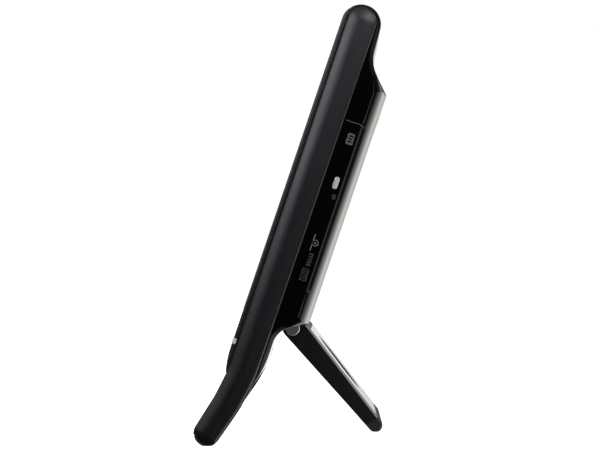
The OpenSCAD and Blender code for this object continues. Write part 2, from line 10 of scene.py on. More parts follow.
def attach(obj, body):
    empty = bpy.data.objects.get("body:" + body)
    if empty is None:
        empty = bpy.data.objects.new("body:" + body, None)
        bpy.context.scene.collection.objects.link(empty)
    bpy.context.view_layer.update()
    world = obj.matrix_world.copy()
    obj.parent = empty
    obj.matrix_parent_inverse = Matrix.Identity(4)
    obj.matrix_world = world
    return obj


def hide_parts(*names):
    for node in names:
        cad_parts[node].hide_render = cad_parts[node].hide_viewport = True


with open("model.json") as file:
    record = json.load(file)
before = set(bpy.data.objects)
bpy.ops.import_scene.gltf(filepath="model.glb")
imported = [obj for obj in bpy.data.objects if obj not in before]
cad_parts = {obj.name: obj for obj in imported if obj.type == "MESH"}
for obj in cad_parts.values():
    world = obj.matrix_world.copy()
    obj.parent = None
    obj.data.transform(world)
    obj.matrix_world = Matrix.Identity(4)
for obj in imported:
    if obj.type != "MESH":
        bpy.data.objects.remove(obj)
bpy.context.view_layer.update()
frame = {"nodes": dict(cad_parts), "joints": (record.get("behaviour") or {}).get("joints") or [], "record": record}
scene = bpy.context.scene
NODES = frame["nodes"]
JOINTS = {j["name"]: j for j in frame["joints"]}

# ---- The case's own axes: x across, v from the front to the rear, u up the case, in millimetres

MM = 0.001
HINGE_V, HINGE_U = 36.8, 94.5
key_push = Vector(JOINTS["power_press"]["axis"])
LEAN = atan2(key_push.z, -key_push.y)
hinge_at = Vector(JOINTS["stand_fold"]["pos_m"])
REARWARD = Vector((0, cos(LEAN), -sin(LEAN)))
UPWARD = Vector((0, sin(LEAN), cos(LEAN)))


def axes_at(origin, second, third):
    """The matrix from x, second and third axes in millimetres to the frame's metres."""
    turn = Matrix((Vector((1, 0, 0)), second, third)).transposed().to_4x4()
    return Matrix.Translation(origin) @ turn @ Matrix.Scale(MM, 4)


CASE = axes_at(hinge_at, REARWARD, UPWARD) @ Matrix.Translation((0, -HINGE_V, -HINGE_U))

# The stand's own axes: x across, s along it from the hinge, h out of its back
STAND_DROP = radians(33.6)
ALONG = (REARWARD * cos(STAND_DROP) - UPWARD * sin(STAND_DROP)).normalized()
OUT = (REARWARD * sin(STAND_DROP) + UPWARD * cos(STAND_DROP)).normalized()
STAND = axes_at(hinge_at, ALONG, OUT)

# ---- Sizes of the case, in its own axes

CASE_W, CASE_D = 386, 48.1
HALF_W = CASE_W / 2
SIDE_R = 10
WALL, BEZEL_T, SEAM = 2.2, 3.3, 0.15
ARM_W, ARM_GAP = 14, 0.4
ARM_OUT = HALF_W + 3
ARM_IN = ARM_OUT - ARM_W
VIEW_W, VIEW_LOW, VIEW_TOP = 331.2, 104, 311
DOOR_V, DOOR_U = (25.9, 41.1), (125.5, 253.5)
KEY_X, KEY_U, KEY_R = [80, 96, 112, 128, 144], 264, 4
CHASSIS_V = 11.4
CASE_POSTS = [(-168, 265), (48, 266), (168, 265), (-120, 117), (120, 117), (51.2, 190)]
# Corners hold (v, u, radius)
CASE_CORNERS = [
    (0, 335.9, 14.2), (0, 62.8, 68), (5.2, 44, 8), (22.1, 44, 8), (28.1, 64.8, 80), (28.1, 94.4, 16),
    (48.1, 106, 2.5), (48.1, 279.3, 3.5), (30.4, 297, 24), (27.6, 335.9, 14.2)]
ARM_CORNERS = [
    (3.7, 333.5, 10.4), (3.7, 58, 60), (0.6, 36, 100), (-7.65, 1.86, 9.6), (10.7, -3.2, 9.6),
    (20.6, 31, 100), (24.9, 57, 60), (24.9, 333.5, 10.4)]


def bend(a, b):
    """The turn from direction a to direction b, in radians."""
    return atan2(a.x * b.y - a.y * b.x, a.dot(b))


def rounded(corners, step=3.0):
    """The points of an outline whose corners are (x, y, radius), one every step degrees of turn."""
    points = []
    for i, c in enumerate(corners):
        here = Vector(c[:2])
        a = (here - Vector(corners[i - 1][:2])).normalized()
        b = (Vector(corners[(i + 1) % len(corners)][:2]) - here).normalized()
        turn = bend(a, b)
        start = here - a * c[2] * tan(abs(turn) / 2)
        side = 1 if turn > 0 else -1
        centre = start + side * c[2] * Vector((-a.y, a.x))
        count = max(1, ceil(degrees(abs(turn)) / step))
        arm = start - centre
        for k in range(count + 1):
            points.append(centre + Matrix.Rotation(turn * k / count, 2) @ arm)
    return points


def inset(corners, d):
    """The same outline moved inwards by d."""
    moved = []
    for i, c in enumerate(corners):
        here = Vector(c[:2])
        a = (here - Vector(corners[i - 1][:2])).normalized()
        b = (Vector(corners[(i + 1) % len(corners)][:2]) - here).normalized()
        at = here + d * (Vector((-a.y, a.x)) + Vector((-b.y, b.x))) / (1 + a.dot(b))
        moved.append((at.x, at.y, max(0.1, c[2] - (d if bend(a, b) > 0 else -d))))
    return moved


# ---- Making meshes

def new_object(name, bm):
    """A new object in the scene, made from bm, which is used up."""
    mesh = bpy.data.meshes.new(name)
    bm.to_mesh(mesh)
    bm.free()
    thing = bpy.data.objects.new(name, mesh)
    scene.collection.objects.link(thing)
    return thing


def to_piece(name, bm, place, slot, body="body", stands_for=(), smooth=35, look=None):
    """A finished piece in the frame's metres, which rides on a body and has a slot's look or its own."""
    bm.transform(place)
    bmesh.ops.recalc_face_normals(bm, faces=bm.faces)
    piece = new_object(name, bm)
    dress(piece, smooth)
    piece.data.materials.append(MATERIALS[look or slot])
    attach(piece, body)
    if stands_for:
        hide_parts(*stands_for)


def dress(piece, smooth):
    """Smooth shading, with edges sharper than the given angle left sharp."""
    piece.data.shade_smooth()
    piece.data.set_sharp_from_angle(angle=radians(smooth))
    normals = piece.modifiers.new("normals", "WEIGHTED_NORMAL")
    normals.keep_sharp = True


def lofted(rings):
    """A closed solid that skins a row of equally long rings of points."""
    bm = bmesh.new()
    made = [[bm.verts.new(p) for p in ring] for ring in rings]
    count = len(rings[0])
    for low, high in zip(made, made[1:]):
        for i in range(count):
            bm.faces.new((low[i], low[(i + 1) % count], high[(i + 1) % count], high[i]))
    bm.faces.new(list(reversed(made[0])))
    bm.faces.new(made[-1])
    bmesh.ops.recalc_face_normals(bm, faces=bm.faces)
    return bm


def slab(outline, x0, x1):
    """An outline of (v, u) points drawn out across the case."""
    return lofted([[(x, p[0], p[1]) for p in outline] for x in (x0, x1)])


def block(x, v, u):
    """A plain block between a low and a high place along each axis."""
    outline = [(v[0], u[0]), (v[1], u[0]), (v[1], u[1]), (v[0], u[1])]
    return slab(outline, *x)


def rounded_box(v, u, r, x0, x1):
    """A block whose long edges are rounded."""
    corners = [(v[0], u[0], r), (v[1], u[0], r), (v[1], u[1], r), (v[0], u[1], r)]
    return slab(rounded(corners, 10), x0, x1)


def turns(count):
    """The angles of a circle, in equal steps."""
    return [2 * pi * k / count for k in range(count)]


def drum(x, radius, at, count):
    """A cylinder lying across, from one place along x to another, with its axis at (v, u) or (s, h)."""
    return slab([(at[0] + radius * cos(t), at[1] + radius * sin(t)) for t in turns(count)], *x)


def round_ended(middle, radius, ends, steps):
    """An outline of (sideways, up) points with half a circle round each of two ends, low and high."""
    low, high = ends
    half = [pi * k / steps for k in range(steps + 1)]
    ring = [(middle + radius * cos(t), high + radius * sin(t)) for t in half]
    return ring + [(middle + radius * cos(pi + t), low + radius * sin(pi + t)) for t in half]


def disc_points(at, radius, normal="v", count=40):
    """A circle of points round a place, facing along v or x."""
    if normal == "v":
        return [(at[0] + radius * cos(t), at[1], at[2] + radius * sin(t)) for t in turns(count)]
    return [(at[0], at[1] + radius * cos(t), at[2] + radius * sin(t)) for t in turns(count)]


def turned(profile, at, normal="v", count=40):
    """A turned solid: profile holds (radius, distance along its axis) from one end to the other."""
    step = Vector((0, 1, 0)) if normal == "v" else Vector((1, 0, 0))
    return lofted([disc_points(Vector(at) + step * d, r, normal, count) for r, d in profile])


def join(*parts):
    """Several bmeshes as one."""
    whole = bmesh.new()
    for part in parts:
        mesh = bpy.data.meshes.new("part")
        part.to_mesh(mesh)
        part.free()
        whole.from_mesh(mesh)
        bpy.data.meshes.remove(mesh)
    return whole


def combined(bm, tools, operation="DIFFERENCE"):
    """bm with each tool taken away from it, or added or kept in common, in turn."""
    thing = new_object("temporary", bm)
    for tool in tools:
        other = new_object("temporary", tool)
        change = thing.modifiers.new("change", "BOOLEAN")
        change.operation = operation
        change.solver = "EXACT"
        change.object = other
        bpy.context.view_layer.update()
        made = bpy.data.meshes.new_from_object(thing.evaluated_get(bpy.context.evaluated_depsgraph_get()))
        thing.modifiers.clear()
        thing.data = made
        bpy.data.objects.remove(other)
    result = bmesh.new()
    result.from_mesh(thing.data)
    bpy.data.objects.remove(thing)
    return result


def softened(bm, width, segments=2, angle=40):
    """bm with the edges that turn more than the given angle rounded over."""
    bmesh.ops.recalc_face_normals(bm, faces=bm.faces)
    edges = [e for e in bm.edges if len(e.link_faces) == 2 and e.calc_face_angle(0) > radians(angle)]
    bmesh.ops.bevel(bm, geom=edges, offset=width, segments=segments, profile=0.5, affect="EDGES",
                    clamp_overlap=True)
    return bm


def rested(bm, place):
    """bm in the frame's metres, flattened where it would pass below the floor."""
    bm.transform(place)
    for v in bm.verts:
        v.co.z = max(v.co.z, 0)
    return bm


# ---- Camera and lights

EYE_FROM_SIDE, EYE_V, EYE_U = 1479, 52.3, 155.7
LOOK_V, LOOK_U = 19.2, 170.9
FOCAL_LENGTH = 124.1
LIGHT_TINT = (0.93, 0.93, 1.0)
SIDE_MIDDLE = (0.196, 0, 0.18)
# Each light: its name, its place, what it faces and its size, in metres, and its power in watts
LIGHTS = [
    ("side_light", (1.48, -0.74, 0.78), SIDE_MIDDLE, (0.5, 0.7), 6.2),
    ("top_light", (0, 0.1, 2.1), (0, 0, 0.16), (1.8, 1.8), 7),
    ("head_light", (1.12, 0.38, 0.7), (0.196, 0.03, 0.3), (0.4, 0.4), 2.8),
    ("stand_light", (0.15, 1.3, 1.0), (0.07, 0.07, 0.08), (0.6, 0.6), 7),
    ("fill_light", (0.9, -0.2, 0.62), (0.196, 0, 0.25), (0.6, 0.6), 0.8),
    ("strip_light", (2.7, 0.42, 0.35), SIDE_MIDDLE, (0.3, 1.6), 1.0)]


def aim(thing, place, target):
    """Adds a camera or a light to the scene, facing a target."""
    thing.location = place
    thing.rotation_euler = (Vector(target) - Vector(place)).to_track_quat("-Z", "Y").to_euler()
    scene.collection.objects.link(thing)


def side_camera():
    """A long lens looking at the right side, a little from behind."""
    lens = bpy.data.cameras.new("camera")
    lens.lens = FOCAL_LENGTH
    lens.clip_end = 50
    camera = bpy.data.objects.new("camera", lens)
    eye = Vector((ARM_OUT + EYE_FROM_SIDE, EYE_V, EYE_U))
    aim(camera, CASE @ eye, CASE @ Vector((ARM_OUT, LOOK_V, LOOK_U)))
    scene.camera = camera
    scene.view_settings.view_transform = "Standard"


def softbox(name, place, target, size, power):
    """A soft rectangular light, which is not seen itself."""
    light = bpy.data.lights.new(name, "AREA")
    light.shape = "RECTANGLE"
    light.size, light.size_y = size
    light.energy = power
    light.color = LIGHT_TINT
    thing = bpy.data.objects.new(name, light)
    thing.visible_camera = False
    aim(thing, place, target)


side_camera()
for facts in LIGHTS:
    softbox(*facts)

# ---- Shader nodes


def connect(tree, socket, value):
    """Links a socket to a node's output, or sets it to a plain value."""
    if isinstance(value, bpy.types.NodeSocket):
        tree.links.new(value, socket)
    else:
        socket.default_value = value


def build(tree, kind, settings=None, **sockets):
    """A shader node, with its sockets linked or set; spaces in socket names are underscores."""
    made = tree.nodes.new(kind)
    for name, value in (settings or {}).items():
        setattr(made, name, value)
    for name, value in sockets.items():
        connect(tree, made.inputs[name.replace("_", " ")], value)
    return made


def maths(tree, operation, a, b):
    """The result of a sum or a product in a shader."""
    made = build(tree, "ShaderNodeMath", {"operation": operation})
    connect(tree, made.inputs[0], a)
    connect(tree, made.inputs[1], b)
    return made.outputs[0]


# ---- The sky: what lights the object and what its glossy sides reflect

SKY_TINT = (1.0, 1.0, 0.965, 1)
# Each part of the sky: a direction, and (cosine from it, brightness) from far to near.
# The first is dark at +X and bright across the middle and at -X, the second is behind the object
# and the third is above it.
SKY = [
    ((1, 0, 0), [
        (-1, 1.4), (-0.9996, 1.3), (-0.998, 0.66), (-0.985, 0.6), (-0.94, 0.32), (-0.6, 0.15), (-0.2, 1.1),
        (0.35, 0.25), (0.6, 0.01)]),
    ((-0.15, 0.935, -0.32), [
        (0.25, 0.0), (0.42, 0.25), (0.52, 0.85), (0.82, 2.5), (0.9, 3.5), (0.985, 6.0), (1, 6.5)]),
    ((0, 0.3, 0.95), [(0.2, 0.0), (0.6, 0.3), (1, 0.35)])]
# The share of their sum that is left: a band between level and overhead is dimmed
SHADE = ((0, 0.3, 0.95), [(-1, 1), (0.07, 1), (0.16, 0.3), (0.5, 0.35), (0.9, 1), (1, 1)])


def glow(tree, way, direction, steps):
    """A smooth brightness over the sky: steps holds (cosine from a direction, brightness)."""
    toward = build(tree, "ShaderNodeVectorMath", {"operation": "DOT_PRODUCT"})
    connect(tree, toward.inputs[0], way)
    connect(tree, toward.inputs[1], Vector(direction).normalized())
    spread = build(tree, "ShaderNodeMapRange", Value=toward.outputs["Value"], From_Min=-1.0, From_Max=1.0)
    ramp = build(tree, "ShaderNodeValToRGB", Fac=spread.outputs["Result"])
    ramp.color_ramp.interpolation = "EASE"
    most = max(value for _, value in steps)
    for i, (cosine, value) in enumerate(steps):
        place = (cosine + 1) / 2
        element = ramp.color_ramp.elements[i] if i < 2 else ramp.color_ramp.elements.new(place)
        element.position = place
        element.color = (value / most, value / most, value / most, 1)
    return maths(tree, "MULTIPLY", ramp.outputs["Color"], most)


def studio_world():
    """Plain white to the eye, and for light and reflections the parts of SKY added up and shaded."""
    world = bpy.data.worlds.new("studio")
    world.use_nodes = True
    tree = world.node_tree
    tree.nodes.clear()
    way = build(tree, "ShaderNodeTexCoord").outputs["Generated"]
    total = 0.0
    for direction, steps in SKY:
        total = maths(tree, "ADD", total, glow(tree, way, direction, steps))
    strength = maths(tree, "MULTIPLY", total, glow(tree, way, *SHADE))
    around = build(tree, "ShaderNodeBackground", Color=SKY_TINT, Strength=strength)
    seen = build(tree, "ShaderNodeBackground", Color=(1, 1, 1, 1), Strength=1.0)
    eye = build(tree, "ShaderNodeLightPath").outputs["Is Camera Ray"]
    mix = build(tree, "ShaderNodeMixShader", Fac=eye)
    connect(tree, mix.inputs[1], around.outputs[0])
    connect(tree, mix.inputs[2], seen.outputs[0])
    build(tree, "ShaderNodeOutputWorld", Surface=mix.outputs[0])
    scene.world = world


studio_world()

# ---- Materials: each slot of the record has one, made of nodes

MATERIALS = {}


def surface(slot, tint, rough, metal=0.0, mottle=0.12, cloud=40.0, grain=2500.0, bump=0.02, spread=0.05,
            stretch=(1, 1, 1), **shader):
    """A moulded, painted or metal finish: cloudy colour, uneven roughness and a fine grained surface."""
    material = bpy.data.materials.new(slot)
    material.use_nodes = True
    tree = material.node_tree
    main = tree.nodes["Principled BSDF"]
    origin = build(tree, "ShaderNodeTexCoord").outputs["Object"]
    place = build(tree, "ShaderNodeMapping", Vector=origin, Scale=stretch).outputs["Vector"]
    clouds = build(tree, "ShaderNodeTexNoise", Vector=place, Scale=cloud, Detail=4.0, Roughness=0.6)
    fine = build(tree, "ShaderNodeTexNoise", Vector=place, Scale=grain, Detail=2.0, Roughness=0.5)
    ramp = build(tree, "ShaderNodeValToRGB", Fac=clouds.outputs["Fac"])
    for element, position, gain in zip(ramp.color_ramp.elements, (0.3, 0.7), (1 - mottle, 1 + mottle)):
        element.position = position
        element.color = (*(min(1.0, c * gain) for c in tint), 1)
    uneven = build(tree, "ShaderNodeMapRange", Value=clouds.outputs["Fac"],
                   To_Min=max(0.0, rough - spread), To_Max=min(1.0, rough + spread))
    relief = build(tree, "ShaderNodeBump", Height=fine.outputs["Fac"], Strength=bump, Distance=0.0002)
    connect(tree, main.inputs["Base Color"], ramp.outputs["Color"])
    connect(tree, main.inputs["Roughness"], uneven.outputs["Result"])
    connect(tree, main.inputs["Normal"], relief.outputs["Normal"])
    connect(tree, main.inputs["Metallic"], metal)
    for name, value in shader.items():
        connect(tree, main.inputs[name.replace("_", " ")], value)
    MATERIALS[slot] = material


surface("bezel_black", (0.012, 0.012, 0.013), 0.32, bump=0.03)
surface("trim_metal", (0.95, 0.95, 0.93), 0.34, metal=0.35, stretch=(0.02, 1, 1), bump=0.05, grain=6000)
surface("smoked_window", (0.03, 0.004, 0.006), 0.08, Coat_Weight=0.6)
surface("light_lens", (0.05, 0.06, 0.055), 0.2, Transmission_Weight=0.3)
surface("sheet_steel", (0.55, 0.56, 0.57), 0.34, metal=0.9, mottle=0.25, cloud=120, bump=0.08)
surface("lcd_black", (0.008, 0.009, 0.012), 0.16, mottle=0.2, bump=0.002, Coat_Weight=0.3)
surface("light_guide", (0.8, 0.84, 0.86), 0.12, Transmission_Weight=0.5)
surface("lamp_glass", (0.9, 0.9, 0.86), 0.25)
surface("side_satin", (0.0048, 0.0049, 0.0064), 0.32, mottle=0.08, bump=0.04, grain=3500)
surface("pad_rubber", (0.01, 0.01, 0.01), 0.75, mottle=0.3, bump=0.3, grain=2200)
surface("cover_gloss", (0.0015, 0.0015, 0.0017), 0.05, spread=0.02, bump=0.004, Coat_Weight=0.2)
surface("door_gloss", (0.0015, 0.0015, 0.0017), 0.05, spread=0.02, bump=0.004, Coat_Weight=0.2)
surface("chip_black", (0.02, 0.02, 0.021), 0.55, bump=0.2)
surface("heat_sink_metal", (0.5, 0.52, 0.55), 0.4, metal=0.9, stretch=(1, 1, 0.05), bump=0.2)
surface("capacitor_sleeve", (0.02, 0.03, 0.12), 0.25)
surface("brass_turned", (0.7, 0.52, 0.2), 0.28, metal=1.0, bump=0.05)
surface("screw_steel", (0.6, 0.6, 0.61), 0.28, metal=1.0, bump=0.05)
surface("screw_black", (0.02, 0.02, 0.021), 0.3, metal=0.4, bump=0.05)
surface("winding_tape", (0.62, 0.42, 0.04), 0.35, stretch=(1, 1, 4), bump=0.2)
surface("socket_metal", (0.6, 0.61, 0.62), 0.3, metal=0.95, bump=0.05)
surface("socket_black", (0.012, 0.012, 0.013), 0.45, bump=0.1)
surface("socket_yellow", (0.62, 0.42, 0.02), 0.42, bump=0.1)
surface("speaker_black", (0.018, 0.018, 0.019), 0.7, bump=0.4, grain=1800)
surface("key_plastic", (0.028, 0.028, 0.03), 0.38, bump=0.05)
surface("rail_plastic", (0.55, 0.55, 0.54), 0.5, bump=0.05)
surface("tray_black", (0.014, 0.014, 0.015), 0.55, bump=0.35, grain=3000)
surface("button_silver", (0.56, 0.57, 0.59), 0.35, metal=0.25, mottle=0.15, cloud=900, bump=0.15, grain=1500)
surface("hub_metal", (0.62, 0.63, 0.64), 0.25, metal=1.0, bump=0.05)
surface("sled_black", (0.02, 0.02, 0.022), 0.5, bump=0.3, grain=2600)
surface("lug_metal", (0.42, 0.43, 0.45), 0.42, metal=0.75, mottle=0.2, cloud=300, bump=0.12, grain=2500)
surface("pin_steel", (0.62, 0.63, 0.65), 0.22, metal=1.0, stretch=(0.1, 1, 1), bump=0.05)
surface("stand_matt", (0.0035, 0.0035, 0.0038), 0.36, mottle=0.15, bump=0.08, grain=2600)
surface("stand_gloss", (0.004, 0.004, 0.0045), 0.14, spread=0.02, bump=0.01)
surface("printed_mark", (0.085, 0.085, 0.11), 0.5)
surface("printed_dim", (0.03, 0.03, 0.037), 0.5)
surface("printed_bright", (0.16, 0.16, 0.18), 0.5)
surface("board_green", (0.012, 0.09, 0.035), 0.35, mottle=0.35, cloud=260, bump=0.2, grain=900)
surface("ribbon_film", (0.5, 0.44, 0.24), 0.35, stretch=(12, 1, 1), mottle=0.3, cloud=90, bump=0.2)
surface("clear_pane", (0.9, 0.93, 0.94), 0.03, mottle=0.02, bump=0.002, Transmission_Weight=1.0, IOR=1.49)
surface("floor_white", (0.9, 0.9, 0.9), 0.7, mottle=0.01, bump=0.01, Emission_Color=(1, 1, 1, 1),
        Emission_Strength=1.0)


def floor():
    """A plain white floor, which the object does not reflect."""
    bm = bmesh.new()
    bmesh.ops.create_grid(bm, x_segments=4, y_segments=4, size=4.0)
    ground = new_object("floor", bm)
    ground.data.materials.append(MATERIALS["floor_white"])
    ground.visible_diffuse = ground.visible_glossy = False


floor()

SLOT_OF = {s["node"]: s["material_slot"] for s in frame["record"]["subparts"]}
for name, thing in NODES.items():
    thing.data.materials.clear()
    thing.data.materials.append(MATERIALS[SLOT_OF[name]])

# ---- The case: one form for the bezel and the rear cover

# The front rim's radius, the depth over which it passes into the rear rim, and the rear edge's softness
FRONT_RIM, RIM_BLEND, EDGE_EASE = 1.4, 12, 1.5
# The rear rim is a shallow band: (distance in from the side face, how far the outline is drawn in)
REAR_RIM = [(0, 3.0), (1.0, 0.3), (1.15, 0.12), (1.35, 0.04), (1.6, 0)]


def along(table, at):
    """The value at a distance, from a table of (distance, value)."""
    for (a, p), (b, q) in zip(table, table[1:]):
        if at <= b:
            return p + (q - p) * max(0, at - a) / (b - a)
    return table[-1][1]


def smooth_min(a, b, k):
    """The smaller of two lengths, eased over k where they are close."""
    if k <= 0:
        return min(a, b)
    h = max(k - abs(a - b), 0) / k
    return min(a, b) - h * h * k / 4


def depth_limit(x, d):
    """How deep the case is at x, where its upright rear edges are rounded."""
    past = abs(x) - (HALF_W - SIDE_R)
    radius = SIDE_R - d
    return CASE_D - SIDE_R + sqrt(max(0, radius * radius - max(0, past) ** 2))


def case_ring(x, d=0.0):
    """The case's side outline at x, made smaller all round by d."""
    depth = HALF_W - d - abs(x)
    past = max(0, FRONT_RIM - depth)
    front = rounded(inset(CASE_CORNERS, d + FRONT_RIM - sqrt(max(0, FRONT_RIM ** 2 - past * past))))
    rear = rounded(inset(CASE_CORNERS, d + along(REAR_RIM, depth)))
    limit = depth_limit(x, d)
    ease = min(EDGE_EASE, 2 * (CASE_D - d - limit))
    ring = []
    for p, q in zip(front, rear):
        t = min(1, max(0, p.x / RIM_BLEND))
        p = p.lerp(q, t * t * (3 - 2 * t))
        ring.append((x, smooth_min(p.x, limit, ease), p.y))
    return ring


def case_stations(d=0.0):
    """Where along x the case's outline is drawn, close together on its rounded sides."""
    half = HALF_W - d
    outer = {half - SIDE_R + d + (SIDE_R - d) * sin(radians(a)) for a in range(0, 91, 6)}
    outer |= {half - FRONT_RIM * (1 - sin(radians(a))) for a in range(0, 91, 15)}
    outer |= {half - depth for depth, _ in REAR_RIM}
    sides = sorted(outer)
    kept = [x for i, x in enumerate(sides) if i == 0 or x - sides[i - 1] > 0.01]
    return [-x for x in reversed(kept)] + [-90, 0, 90] + kept


def case_form(d=0.0):
    """The whole case as one solid, made smaller all round by d."""
    return lofted([case_ring(x, d) for x in case_stations(d)])


# Wider and taller than the case
ALL_X, ALL_U = (-220, 220), (-20, 400)


def kept_between(v0, v1):
    """All of the case between two depths."""
    return block(ALL_X, (v0, v1), ALL_U)


def arm_room(side):
    """Room beside the case for an arm, with a gap round it."""
    return slab(rounded(inset(ARM_CORNERS, -ARM_GAP)), side * (ARM_IN - ARM_GAP), side * (ARM_OUT + 2))


def stand_box(x, s, h):
    """A block in the stand's axes."""
    return lofted([[(x0, s[0], h0), (x0, s[1], h0), (x1, s[1], h0), (x1, s[0], h0)]
                   for x0, x1, h0 in ((x[0], x[1], h[0]), (x[0], x[1], h[1]))])


# The room round the stand's barrel and round the lugs: radius, and how far it reaches along x
BARREL_ROOM_R, BARREL_ROOM_X = 8.6, 71.7
LUG_ROOM_R, LUG_ROOM_X = 6.1, (71, 76.1)


def pocket(grow):
    """Room in the case's underside for the stand's barrel, its stop and the lugs, made larger by grow."""
    hinge = (HINGE_V, HINGE_U)
    across = (-BARREL_ROOM_X - grow, BARREL_ROOM_X + grow)
    barrel = drum(across, BARREL_ROOM_R + grow, hinge, 64)
    eyes = [drum((side * LUG_ROOM_X[0], side * (LUG_ROOM_X[1] + grow)), LUG_ROOM_R + grow, hinge, 48)
            for side in (-1, 1)]
    stop = stand_box(across, (0, 7.2 + grow), (4, 8.55 + grow))
    stop.transform(CASE.inverted() @ STAND)
    return [barrel, *eyes, stop]


def slot_shape(x, v, u):
    """A round-ended slot through the case's rear, upright between two heights."""
    r = (x[1] - x[0]) / 2
    outline = round_ended((x[0] + x[1]) / 2, r, (u[0] + r, u[1] - r), 8)
    return lofted([[(x, v, u) for x, u in outline] for v in v])


def cover_room():
    """The space inside the rear cover, round its screw posts and its pocket for the hinge."""
    behind_arm = [(-5, -20), (60, -20), (60, 95), (27.5, 95), (27.5, 400), (-5, 400)]
    room = combined(case_form(WALL), [slab(behind_arm, side * 179.8, side * 200) for side in (-1, 1)])
    room = combined(room, [block((-179.6, 179.6), (-5, 8), (60, 325))], "UNION")
    posts = [turned([(4, CHASSIS_V), (4, 60)], (x, 0, u)) for x, u in CASE_POSTS]
    return combined(room, pocket(WALL) + posts)


# Through the left side: flat holes as (v, u) spans, and round ones as (v, u, radius)
SOCKET_X = (-198, -189.8)
FLAT_SOCKETS = [((30.4, 33.2), (208.3, 233.7)), ((30, 34.9), (184.8, 197.2))]
ROUND_SOCKETS = [(32.9, 170, 3), (32.9, 154, 3), (34.4, 137.5, 4)]


def side_openings():
    """The openings in the cover's sides: for the lugs, the tray's door and the sockets."""
    openings = [block((side * 71.2, side * 75.8), (26, 41), (92, 112)) for side in (-1, 1)]
    door_v, door_u = (24.9, DOOR_V[1] + 0.5), (DOOR_U[0] - 0.6, DOOR_U[1] + 0.6)
    openings.append(rounded_box(door_v, door_u, 4.1, 178.8, 198))
    openings += [rounded_box(v, u, 0.4, *SOCKET_X) for v, u in FLAT_SOCKETS]
    openings += [turned([(r, x) for x in SOCKET_X], (0, v, u), "x", 32) for v, u, r in ROUND_SOCKETS]
    return openings


SCREW_HOLE_R = 3
VENTS, VENT_PITCH, VENT_LEFT = 10, 13, -108
SPEAKER_SLOTS, SPEAKER_PITCH, SPEAKER_IN = 8, 7, 107.5


def rear_openings():
    """The openings in the cover's rear: for keys, screws, cooling and the speakers."""
    openings = [turned([(KEY_R + 0.2, 44.9), (KEY_R + 0.2, 50)], (x, 0, KEY_U), count=48) for x in KEY_X]
    openings += [turned([(SCREW_HOLE_R, 45.4), (SCREW_HOLE_R, 50)], (x, 0, u), count=32)
                 for x, u in CASE_POSTS]
    for k in range(VENTS):
        x = VENT_LEFT + VENT_PITCH * k
        openings.append(slot_shape((x, x + 3), (44.9, 50), (178, 214)))
    for side in (-1, 1):
        for k in range(SPEAKER_SLOTS):
            middle = side * (SPEAKER_IN + SPEAKER_PITCH * k)
            openings.append(slot_shape((middle - 1.5, middle + 1.5), (21, 30), (62, 80)))
    return openings


def rear_cover():
    """The shell behind the seam: hollow, and open for all that passes through it."""
    outer = combined(case_form(), [kept_between(BEZEL_T + SEAM, 60)], "INTERSECT")
    cuts = [cover_room(), arm_room(1), arm_room(-1), *pocket(0), *side_openings(), *rear_openings()]
    to_piece("rear_cover_shell", combined(outer, cuts), CASE, "cover_gloss", stands_for=["rear_cover"])


def front_bezel():
    """The front plate, with a bevelled window, a groove for the trim and two small holes."""
    plate = combined(case_form(), [kept_between(-5, BEZEL_T - SEAM)], "INTERSECT")
    # Depth, and how far the window reaches past the view: a bevel in front, a rebate for the pane behind
    window_steps = [(-1, 1.6), (1.2, 0), (1.25, 0), (1.25, 3.4), (4, 3.4)]
    window = lofted([
        [(x * (VIEW_W / 2 + g), v, u) for x, u in
         ((-1, VIEW_LOW - g), (1, VIEW_LOW - g), (1, VIEW_TOP + g), (-1, VIEW_TOP + g))]
        for v, g in window_steps])
    groove = block((-200, 200), (-2, 2.72), (74.9, 79.2))
    filter_hole = rounded_box((-2, 5), (84, 91), 0.01, -9, 9)
    light_hole = turned([(1.3, -2), (1.3, 5)], (150, 0, 87.5), count=24)
    plate = combined(plate, [window, groove, filter_hole, light_hole, arm_room(1), arm_room(-1)])
    to_piece("bezel_plate", plate, CASE, "bezel_black", stands_for=["front_bezel"])


# ---- Side arms: a body, a crowned satin cap on its outer face, and a rubber pad round the leg's end

# The cap is a little narrower than the body behind the leg
CAP_CORNERS = [
    (3.7, 333.5, 10.4), (3.7, 58, 60), (0.6, 36, 100), (-7.65, 1.86, 9.2), (9.75, -2.95, 8.8),
    (19.55, 31.3, 100), (23.9, 58, 60), (24.9, 333.5, 10.4)]
# Each row: distance in from the edge, and how far out at a front edge and at a rear edge
CAP_PROFILE = [
    (0.3, -2.9, -2.9), (0, -2.7, -2.7), (0, -2.4, -2.3), (0.12, -2.0, -0.95), (0.3, -1.87, -0.68),
    (0.6, -1.73, -0.59), (1, -1.56, -0.52), (1.5, -1.38, -0.45), (2, -1.21, -0.37), (2.1, -1.22, -0.38),
    (2.25, -1.17, -0.35), (3, -0.99, -0.27), (4, -0.75, -0.19), (5, -0.53, -0.12), (6, -0.34, -0.07),
    (7, -0.18, -0.03), (8, -0.06, -0.01), (8.7, 0, 0)]
# The same rows for the body, whose last row lies under the cap
BODY_PROFILE = [
    (0.5, -14, -14), (0.1, -13.9, -13.9), (0, -13.5, -13.5), (0, -3.6, -3.6), (0.15, -3.25, -3.06),
    (0.6, -3.02, -3.02)]
# Inside the pad the leg's end is an arc round a centre, up to a height
PAD_CENTRE = Vector((4.4, 8.6))
PAD_INNER, PAD_TOP, PAD_STEPS = 8.2, 4.0, 40


def tucked(p, d):
    """A point of the leg's end, drawn in to make room for the rubber pad."""
    away = p - PAD_CENTRE
    if p.y < PAD_TOP and away.length > PAD_INNER - d:
        return PAD_CENTRE + away.normalized() * (PAD_INNER - d)
    return p


